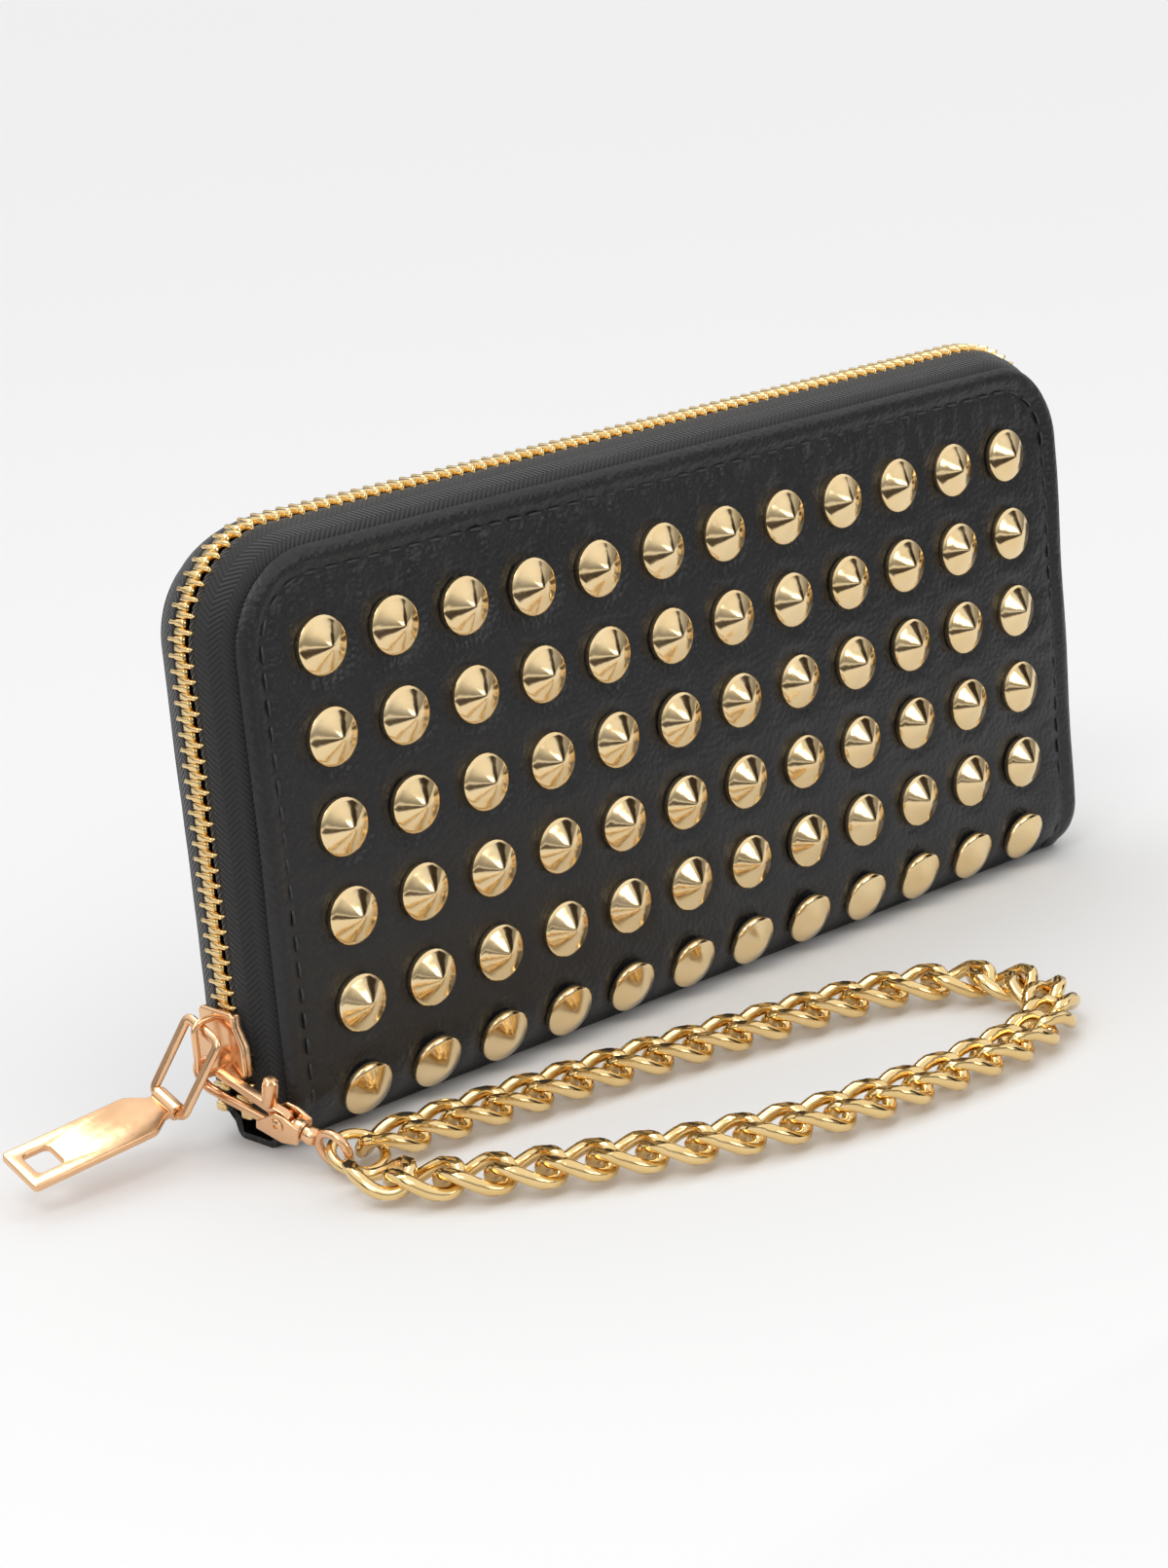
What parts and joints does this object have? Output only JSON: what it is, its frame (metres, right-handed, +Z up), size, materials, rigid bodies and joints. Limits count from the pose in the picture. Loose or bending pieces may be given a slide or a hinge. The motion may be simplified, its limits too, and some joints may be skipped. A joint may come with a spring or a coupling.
{
  "type": "chain wallet",
  "caption": "Zip-around leather wallet with a studded front cover, card pockets, a zipped coin pocket and a detachable curb-chain wrist strap on a snap clasp.",
  "frame": {"origin": "middle of the line on which the folded spine rests", "axes": "+X along the spine, towards the right seen from the studded front; +Y from the studded front cover to the back cover; +Z up"},
  "size_m": [0.235, 0.0926, 0.099],
  "materials": {
    "leather": "fine grained black leather",
    "board": "pressed fibre board",
    "lining": "black woven lining and zip tape",
    "stud_gold": "polished pale gold plating",
    "zip_gold": "gold plated zip teeth and chain",
    "rose_gold": "polished rose gold plating"
  },
  "bodies": {
    "middle": {"spine": "leather", "spine_lining": "lining", "bill_divider_front": "lining", "bill_divider_back": "lining", "coin_pocket_front": "leather", "coin_pocket_back": "leather", "coin_zip_tapes": "lining", "coin_zip_teeth": "zip_gold", "gusset_front_left": "lining", "gusset_front_right": "lining", "gusset_back_left": "lining", "gusset_back_right": "lining"},
    "front_leaf": {"front_cover": "leather", "front_board": "board", "front_lining": "lining", "front_card_pockets": "leather", "studs": "stud_gold", "stud_caps": "zip_gold", "zip_tape_front": "lining", "zip_teeth_front": "zip_gold", "zip_stops_front": "zip_gold"},
    "back_leaf": {"back_cover": "leather", "back_board": "board", "back_lining": "lining", "back_card_pockets": "leather", "zip_tape_back": "lining", "zip_teeth_back": "zip_gold", "zip_stops_back": "zip_gold"},
    "coin_slider": {"coin_slider": "zip_gold"},
    "coin_pull": {"coin_pull": "zip_gold"},
    "main_slider": {"slider_body": "rose_gold", "slider_bridge": "rose_gold"},
    "pull_link": {"pull_link": "rose_gold"},
    "pull_tab": {"pull_tab": "rose_gold"},
    "clasp": {"clasp_body": "rose_gold", "clasp_rivet": "rose_gold", "clasp_spring": "rose_gold"},
    "clasp_lever": {"clasp_lever": "rose_gold"},
    "clasp_swivel": {"clasp_swivel": "rose_gold"},
    "chain_ring": {"chain_ring": "zip_gold"},
    "chain_links_01": {"chain_links_01": "zip_gold"},
    "chain_links_02": {"chain_links_02": "zip_gold"},
    "chain_links_03": {"chain_links_03": "zip_gold"},
    "chain_links_04": {"chain_links_04": "zip_gold"},
    "chain_links_05": {"chain_links_05": "zip_gold"},
    "chain_links_06": {"chain_links_06": "zip_gold"},
    "chain_links_07": {"chain_links_07": "zip_gold"},
    "chain_links_08": {"chain_links_08": "zip_gold"},
    "chain_links_09": {"chain_links_09": "zip_gold"},
    "chain_links_10": {"chain_links_10": "zip_gold"},
    "chain_links_11": {"chain_links_11": "zip_gold"},
    "chain_links_12": {"chain_links_12": "zip_gold"},
    "chain_links_13": {"chain_links_13": "zip_gold"},
    "chain_links_14": {"chain_links_14": "zip_gold"},
    "chain_links_15": {"chain_links_15": "zip_gold"},
    "chain_links_16": {"chain_links_16": "zip_gold"},
    "chain_links_17": {"chain_links_17": "zip_gold"},
    "chain_links_18": {"chain_links_18": "zip_gold"}
  },
  "joints": [
    {"name": "leaf_front_open", "type": "hinge", "parent": "middle", "child": "front_leaf", "pos_m": [0, -0.00675, 0.00246], "axis": [-1, 0, 0], "range_deg": [-45, 0], "deforming": ["zip_tape_front", "zip_teeth_front", "zip_stops_front", "gusset_front_left", "gusset_front_right"]},
    {"name": "leaf_back_open", "type": "hinge", "parent": "middle", "child": "back_leaf", "pos_m": [0, 0.00675, 0.00246], "axis": [1, 0, 0], "range_deg": [-45, 0], "deforming": ["zip_tape_back", "zip_teeth_back", "zip_stops_back", "gusset_back_left", "gusset_back_right"]},
    {"name": "main_zip_slide", "type": "slide", "parent": "middle", "child": "main_slider", "axis": [0, 0, 1], "range_m": [0, 0.055]},
    {"name": "coin_zip_slide", "type": "slide", "parent": "middle", "child": "coin_slider", "axis": [-1, 0, 0], "range_m": [0, 0.138], "deforming": ["coin_zip_teeth", "coin_zip_tapes"]},
    {"name": "coin_zip_pull_flip", "type": "hinge", "parent": "coin_slider", "child": "coin_pull", "pos_m": [0.07, 0, 0.0757], "axis": [0, -1, 0], "range_deg": [0, 165]},
    {"name": "pull_link_flip", "type": "hinge", "parent": "main_slider", "child": "pull_link", "pos_m": [-0.1028, 0, 0.0214], "axis": [0, 0.9272, 0.3746], "range_deg": [0, 75]},
    {"name": "pull_tab_flip", "type": "hinge", "parent": "pull_link", "child": "pull_tab", "pos_m": [-0.10786, 0.00469, 0.00979], "axis": [0, 0.9272, 0.3746], "range_deg": [-35, 40]},
    {"name": "clasp_swing", "type": "hinge", "parent": "main_slider", "child": "clasp", "pos_m": [-0.1021, 0, 0.0135], "axis": [-0.9519, -0.1444, -0.2701], "range_deg": [0, 45]},
    {"name": "clasp_thumb", "type": "hinge", "parent": "clasp", "child": "clasp_lever", "pos_m": [-0.09864, -0.01309, 0.0083], "axis": [-0.9519, -0.1444, -0.2701], "range_deg": [0, 8], "stiffness_Nm_per_rad": 0.02, "springref_deg": -8.59},
    {"name": "clasp_turn", "type": "hinge", "parent": "clasp", "child": "clasp_swivel", "pos_m": [-0.1021, 0, 0.0135], "axis": [0.2438, -0.8911, -0.3827], "continuous": true},
    {"name": "clasp_ring_swing", "type": "hinge", "parent": "clasp_swivel", "child": "chain_ring", "pos_m": [-0.0965, -0.0214, 0.0046], "axis": [0, 0, -1], "range_deg": [0, 28]},
    {"name": "wrist_chain_01_bend", "type": "hinge", "parent": "chain_ring", "child": "chain_links_01", "pos_m": [-0.09106, -0.02393, 0.00385], "axis": [0.1392, 0.9903, 0], "range_deg": [-12, 12]},
    {"name": "wrist_chain_02_bend", "type": "hinge", "parent": "chain_links_01", "child": "chain_links_02", "pos_m": [-0.07556, -0.02611, 0.00385], "axis": [-0.1392, -0.9903, 0], "range_deg": [-25, 25]},
    {"name": "wrist_chain_03_bend", "type": "hinge", "parent": "chain_links_02", "child": "chain_links_03", "pos_m": [-0.06032, -0.02828, 0.00385], "axis": [-0.1478, -0.989, 0], "range_deg": [-25, 25]},
    {"name": "wrist_chain_04_bend", "type": "hinge", "parent": "chain_links_03", "child": "chain_links_04", "pos_m": [-0.04513, -0.03083, 0.00385], "axis": [0.1822, 0.9833, 0], "range_deg": [-25, 25]},
    {"name": "wrist_chain_05_bend", "type": "hinge", "parent": "chain_links_04", "child": "chain_links_05", "pos_m": [-0.03003, -0.03386, 0.00385], "axis": [0.2079, 0.9781, 0], "range_deg": [-25, 25]},
    {"name": "wrist_chain_06_bend", "type": "hinge", "parent": "chain_links_05", "child": "chain_links_06", "pos_m": [-0.01497, -0.03706, 0.00385], "axis": [-0.2079, -0.9781, 0], "range_deg": [-25, 25]},
    {"name": "wrist_chain_07_bend", "type": "hinge", "parent": "chain_links_06", "child": "chain_links_07", "pos_m": [0, -0.04066, 0.00385], "axis": [-0.2756, -0.9613, 0], "range_deg": [-25, 25]},
    {"name": "wrist_chain_08_bend", "type": "hinge", "parent": "chain_links_07", "child": "chain_links_08", "pos_m": [0.01374, -0.04705, 0.00385], "axis": [0.6157, 0.788, 0], "range_deg": [-12, 12]},
    {"name": "wrist_chain_09_bend", "type": "hinge", "parent": "chain_links_08", "child": "chain_links_09", "pos_m": [0.02017, -0.0597, 0.00385], "axis": [0.9998, -0.0174, 0], "range_deg": [-12, 12]},
    {"name": "wrist_chain_10_bend", "type": "hinge", "parent": "chain_links_09", "child": "chain_links_10", "pos_m": [0.01328, -0.07205, 0.00385], "axis": [-0.5736, 0.8191, 0], "range_deg": [-12, 12]},
    {"name": "wrist_chain_11_bend", "type": "hinge", "parent": "chain_links_10", "child": "chain_links_11", "pos_m": [-0.00095, -0.07686, 0.00385], "axis": [-0.1045, 0.9945, 0], "range_deg": [-12, 12]},
    {"name": "wrist_chain_12_bend", "type": "hinge", "parent": "chain_links_11", "child": "chain_links_12", "pos_m": [-0.01631, -0.07706, 0.00385], "axis": [-0.0523, -0.9986, 0], "range_deg": [-25, 25]},
    {"name": "wrist_chain_13_bend", "type": "hinge", "parent": "chain_links_12", "child": "chain_links_13", "pos_m": [-0.03163, -0.07565, 0.00385], "axis": [-0.1392, -0.9903, 0], "range_deg": [-25, 25]},
    {"name": "wrist_chain_14_bend", "type": "hinge", "parent": "chain_links_13", "child": "chain_links_14", "pos_m": [-0.04658, -0.07217, 0.00385], "axis": [0.3173, 0.9483, 0], "range_deg": [-25, 25]},
    {"name": "wrist_chain_15_bend", "type": "hinge", "parent": "chain_links_14", "child": "chain_links_15", "pos_m": [-0.06074, -0.06619, 0.00385], "axis": [0.454, 0.891, 0], "range_deg": [-25, 25]},
    {"name": "wrist_chain_16_bend", "type": "hinge", "parent": "chain_links_15", "child": "chain_links_16", "pos_m": [-0.0741, -0.05856, 0.00385], "axis": [-0.5299, -0.848, 0], "range_deg": [-25, 25]},
    {"name": "wrist_chain_17_bend", "type": "hinge", "parent": "chain_links_16", "child": "chain_links_17", "pos_m": [-0.08682, -0.04989, 0.00385], "axis": [-0.6018, -0.7986, 0], "range_deg": [-25, 25]},
    {"name": "wrist_chain_18_bend", "type": "hinge", "parent": "chain_links_17", "child": "chain_links_18", "pos_m": [-0.09673, -0.03865, 0.00385], "axis": [0.9135, 0.4067, 0], "range_deg": [-12, 12]}
  ]
}
